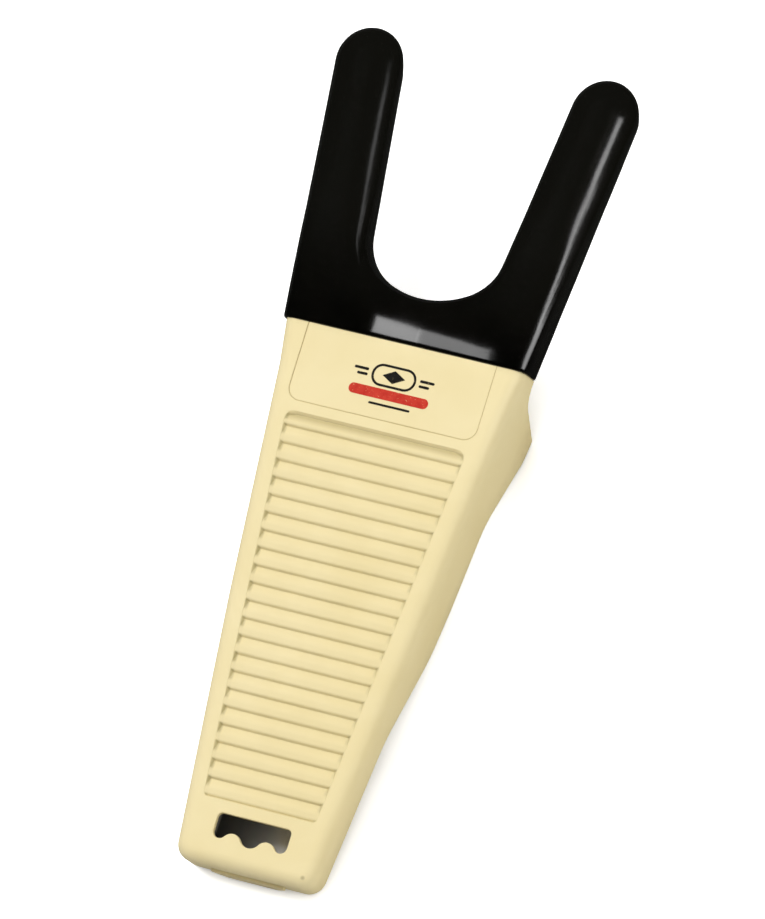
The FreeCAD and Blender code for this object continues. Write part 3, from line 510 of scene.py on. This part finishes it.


# the panel's seam: a strip of darker cream laid in the gap round it, as painted shade of the
# seam
SEAM_HALF, SEAM_REAR, SEAM_RADIUS = 38.55, 30.05, 5.15     # middle line of the gap
SEAM_FRONT = 59.91
SEAM_SPREAD = 0.14            # half the width of the fill


def seam_loop(spread, front):
    """open-fronted U round the panel, `spread` out from the gap's middle line"""
    half, radius = SEAM_HALF + spread, SEAM_RADIUS + spread
    centre_v = SEAM_REAR - spread + radius
    points = [(half, front), (half, centre_v + 12.0)]
    for centre_x, start in ((half - radius, 0.0), (radius - half, -90.0)):
        for i in range(11):
            angle = math.radians(start - 9.0 * i)
            points.append((centre_x + radius * math.cos(angle),
                           centre_v + radius * math.sin(angle)))
    return points + [(-half, centre_v + 12.0), (-half, front)]


# darker cream that stands in for the seam's shade: painted shade
SEAM = cream_plastic("seam_shade", base=srgb(226, 209, 158), deep=srgb(206, 188, 136),
                     rough=0.75, edge_radius=0.00003, grain=0.35)
prism("panel_seam_fill", [seam_loop(SEAM_SPREAD, SEAM_FRONT + 0.01),
                          seam_loop(-SEAM_SPREAD, SEAM_FRONT - 0.01)],
      SEAM, thick=0.20, bottom=PANEL_TOP - 0.32)

# printed marks: a slim open frame with a rhombus in it, two bars at each side,
# and a red band and a thin line on the tail side of them
MARK_X, MARK_V = 0.6, 44.6
FRAME_V = MARK_V + 2.2
FRAME_HALF_X, FRAME_HALF_V, FRAME_RADIUS = 9.0, 4.3, 4.2
FRAME_LINE = 0.9
RHOMBUS_HALF_X, RHOMBUS_HALF_V = 4.6, 2.5


def printed_marks():
    prism("mark_frame",
          [rounded(MARK_X, FRAME_V, FRAME_HALF_X - inset, FRAME_HALF_V - inset,
                   FRAME_RADIUS - inset) for inset in (0.0, FRAME_LINE)], INK)
    prism("mark_rhombus", [[(MARK_X, FRAME_V + RHOMBUS_HALF_V),
                            (MARK_X - RHOMBUS_HALF_X, FRAME_V),
                            (MARK_X, FRAME_V - RHOMBUS_HALF_V),
                            (MARK_X + RHOMBUS_HALF_X, FRAME_V)]], INK)
    for side, side_name in ((-1, "left"), (1, "right")):
        # row, x and v from the mark's middle, half length
        for row, x, v, half_x in (("upper", 13.4, 3.2, 2.9), ("lower", 12.6, 1.2, 2.1)):
            bar = rounded(MARK_X + side * x, MARK_V + v, half_x, half_v=0.5, radius=0.45)
            prism(f"mark_bar_{row}_{side_name}", [bar], INK)
    prism("mark_band",
          [rounded(MARK_X, MARK_V - 4.9, half_x=16.2, half_v=1.95, radius=1.9)], RED)
    prism("mark_line",
          [rounded(MARK_X + 1.5, MARK_V - 8.9, half_x=8.4, half_v=0.42, radius=0.4)], INK)


printed_marks()


# --------------------------------------------------------------------------
# floor
# --------------------------------------------------------------------------
def floor_paper():
    """white paper that glows to the camera, and looks dark in reflections"""
    m = new_material("floor_paper")
    rays = m.node("ShaderNodeLightPath").outputs
    color = m.mix(m.remap(m.noise(scale=3.0), span=(0.3, 0.7)),
                  (0.90, 0.90, 0.90, 1), (0.93, 0.93, 0.93, 1))
    color = m.mix(rays["Is Glossy Ray"], color, (0.06, 0.06, 0.06, 1))
    # deep shade on the floor under the hanging slot, lighter towards the right
    position = m.axes()
    from_slot = m.calc("ADD", position["Y"], 0.136)
    under = m.product(
        m.remap(m.calc("ABSOLUTE", position["X"]), span=(0.021, 0.026), to=(1.0, 0.0)),
        m.remap(m.calc("ABSOLUTE", from_slot), span=(0.0185, 0.0235), to=(1.0, 0.0)))
    fall = m.calc("POWER", 25.0,
                  m.remap(position["X"], span=(-0.021, 0.006), to=(-1.05, -0.06)))
    darkening = m.calc("MULTIPLY", under, m.calc("SUBTRACT", 1.0, fall))
    fade = m.calc("SUBTRACT", 1.0, darkening)
    grey = m.node("ShaderNodeCombineColor", {0: fade, 1: fade, 2: fade})
    color = m.mix(1.0, color, grey.outputs[0], blend="MULTIPLY")
    open_sky = m.remap(m.occlusion(distance=0.03, samples=12),
                       span=(0.25, 0.75), to=(0.0, 0.75))
    open_sky = m.product(open_sky, m.calc("SUBTRACT", 1.0, under))
    m.shade(Base_Color=color, Roughness=0.9, Specular_IOR_Level=0.1,
            Emission_Color=(1.0, 1.0, 1.0, 1.0),
            Emission_Strength=m.product(rays["Is Camera Ray"], open_sky),
            Normal=m.bump(m.noise(scale=400.0), strength=0.05, distance=0.0002))
    return m.owner


floor_bm = bmesh.new()
bmesh.ops.create_grid(floor_bm, x_segments=8, y_segments=8, size=4.0)
floor = add_mesh("floor", floor_bm)
assign(floor, floor_paper())


# --------------------------------------------------------------------------
# lights
# --------------------------------------------------------------------------
def studio_world():
    """warm white room, nearly black in reflections, darker towards the tail's side"""
    world = bpy.data.worlds.new("studio")
    scene.world = world
    sky = Shader(world, output="ShaderNodeOutputWorld", surface="ShaderNodeBackground",
                 coord="Generated")
    glossy = sky.node("ShaderNodeLightPath").outputs["Is Glossy Ray"]
    sky.shade(Color=sky.mix(glossy, (1.0, 0.985, 0.94, 1.0), (0.030, 0.030, 0.030, 1.0)),
              Strength=sky.remap(sky.axes()["Y"], span=(-1.0, 0.8), to=(0.12, 0.43)))


studio_world()

CENTRE = deck_point(0, 15, 0)
ALONG_DECK = deck_dir(0, 1, 0)


def placed(x_axis, y_axis, z_axis, origin):
    matrix = Matrix((x_axis, y_axis, z_axis)).transposed().to_4x4()
    matrix.translation = origin
    return matrix


def area(name, direction, distance, size, power, target=CENTRE, up=ALONG_DECK,
         glossy=True, diffuse=True, spread=None, color=(1, 1, 1)):
    """area light `distance` m from target along a world direction; spread in degrees"""
    light = bpy.data.lights.new(name, "AREA")
    light.shape = "RECTANGLE"
    light.size, light.size_y = size
    light.energy = power
    light.color = color
    if spread is not None:
        light.spread = math.radians(spread)
    obj = add_object(name, light)
    back = direction.normalized()
    right = up.normalized().cross(back).normalized()
    obj.matrix_world = placed(right, back.cross(right), back, target + back * distance)
    obj.visible_camera = False
    obj.visible_glossy = glossy
    obj.visible_diffuse = diffuse


area("key", deck_dir(-0.45, 0.30, 0.84), distance=3.6, size=(1.5, 1.5), power=87.0,
     glossy=False)
area("fill_top", deck_dir(0.62, -0.12, 0.77), distance=2.4, size=(1.2, 1.2), power=12.5,
     glossy=False)
area("fill_right", deck_dir(0.9, -0.05, 0.5), distance=2.4, size=(1.0, 1.3), power=8.4,
     glossy=False, color=(1.0, 0.93, 0.66))


def prong_light(name, side, v, offset, lean, distance, width, length, radiance, spread):
    """soft box seen by the camera in a prong (side 1 right, -1 left), `offset` mm right
    of its middle line, where its skin leans by `lean` degrees to the right"""
    x = side * (TIP_X + (v - TIP_V) * math.tan(SPLAY))
    across = deck_dir(COS_SPLAY, -side * SIN_SPLAY, 0.0)
    lean = math.radians(lean)
    normal = deck_dir(0.0, 0.0, 1.0) * math.cos(lean) + across * math.sin(lean)
    mirrored = normal * (2.0 * TO_CAMERA.dot(normal)) - TO_CAMERA
    area(name, mirrored, distance, (width, length), radiance * math.pi * width * length,
         target=deck_point(x + offset, v, 0.0), up=deck_dir(side * SIN_SPLAY, COS_SPLAY, 0.0),
         diffuse=False, spread=spread)


# name, side, v, offset (mm), lean (deg), distance, width, length (m), radiance, spread (deg)
PRONG_LIGHTS = (
    ("box_tip", 1.0, 155.0, 9.0, 20.5, 0.30, 0.060, 0.054, 0.78, 60.0),
    ("box_upper", 1.0, 118.5, 9.4, 24.5, 0.22, 0.052, 0.027, 0.78, 60.0),
    ("box_lower", 1.0, 96.5, 10.0, 31.0, 0.16, 0.055, 0.024, 0.82, 60.0),
    ("box_base", 1.0, 71.5, 11.0, 38.5, 0.12, 0.080, 0.036, 0.80, 62.0),
    ("box_left_upper", -1.0, 138.0, 9.6, 25.5, 0.18, 0.032, 0.046, 0.15, 60.0),
    ("box_left_lower", -1.0, 102.0, 10.2, 31.5, 0.14, 0.030, 0.034, 0.15, 60.0),
)
for row in PRONG_LIGHTS:
    prong_light(*row)

# two small cards mirrored by the flat of the cover next to its rim:
# name, x and v of the target, size (m), power (W)
for name, x, v, size, power in (
        ("card_left", -3.8, 64.0, (0.0168, 0.0068), 0.00029),
        ("card_right", 19.8, 63.2, (0.0280, 0.0058), 0.00025)):
    area(name, deck_dir(-0.366, 0.155, 0.917), distance=0.014, size=size, power=power,
         target=deck_point(x, v, COVER_TOP), diffuse=False, spread=60)

# --------------------------------------------------------------------------
# camera
# --------------------------------------------------------------------------
CAMERA_DISTANCE = 4.2     # m from AIM
lens = bpy.data.cameras.new("camera")
lens.sensor_fit = "VERTICAL"
lens.sensor_width = 36.0
lens.sensor_height = 24.0
lens.lens = 296.14799
lens.clip_start = 0.1
lens.clip_end = 50.0
camera = add_object("camera", lens)
camera.matrix_world = placed(VIEW_RIGHT, VIEW_UP, TO_CAMERA,
                             AIM + TO_CAMERA * CAMERA_DISTANCE)
scene.camera = camera
